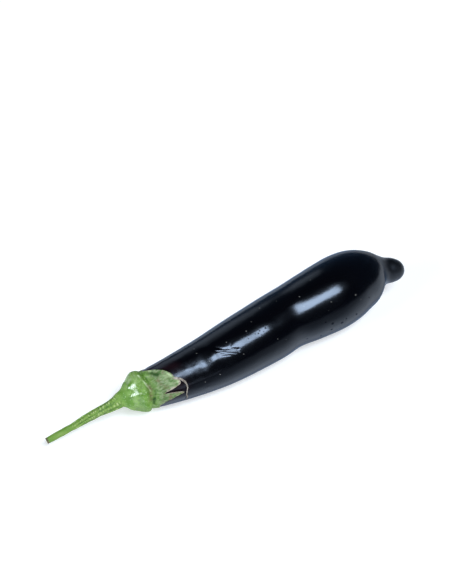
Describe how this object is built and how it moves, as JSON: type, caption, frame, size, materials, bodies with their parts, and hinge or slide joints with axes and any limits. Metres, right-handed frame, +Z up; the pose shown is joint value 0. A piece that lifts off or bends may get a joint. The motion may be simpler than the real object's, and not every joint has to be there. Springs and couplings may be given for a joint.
{
  "type": "eggplant",
  "caption": "Long slim eggplant as picked, lying on its side: glossy dark fruit with a blunt knob, a lobed green calyx cup and a ribbed, cut stem.",
  "frame": {"origin": "middle of the whole object's box, on the plane that the fruit rests on", "axes": "+X along the fruit from the stem to the knob, +Z up, -Y the side that the picture shows"},
  "size_m": [0.299, 0.0552, 0.0518],
  "materials": {
    "fruit_skin": "near-black purple skin, smooth and glossy",
    "calyx_green": "fresh green, glossy on the shoulder, dry and brown at the lobes' tips",
    "stem_green": "fresh green, ribbed, satin"
  },
  "bodies": {
    "root": {"fruit": "fruit_skin", "calyx": "calyx_green", "stem": "stem_green"}
  },
  "joints": []
}
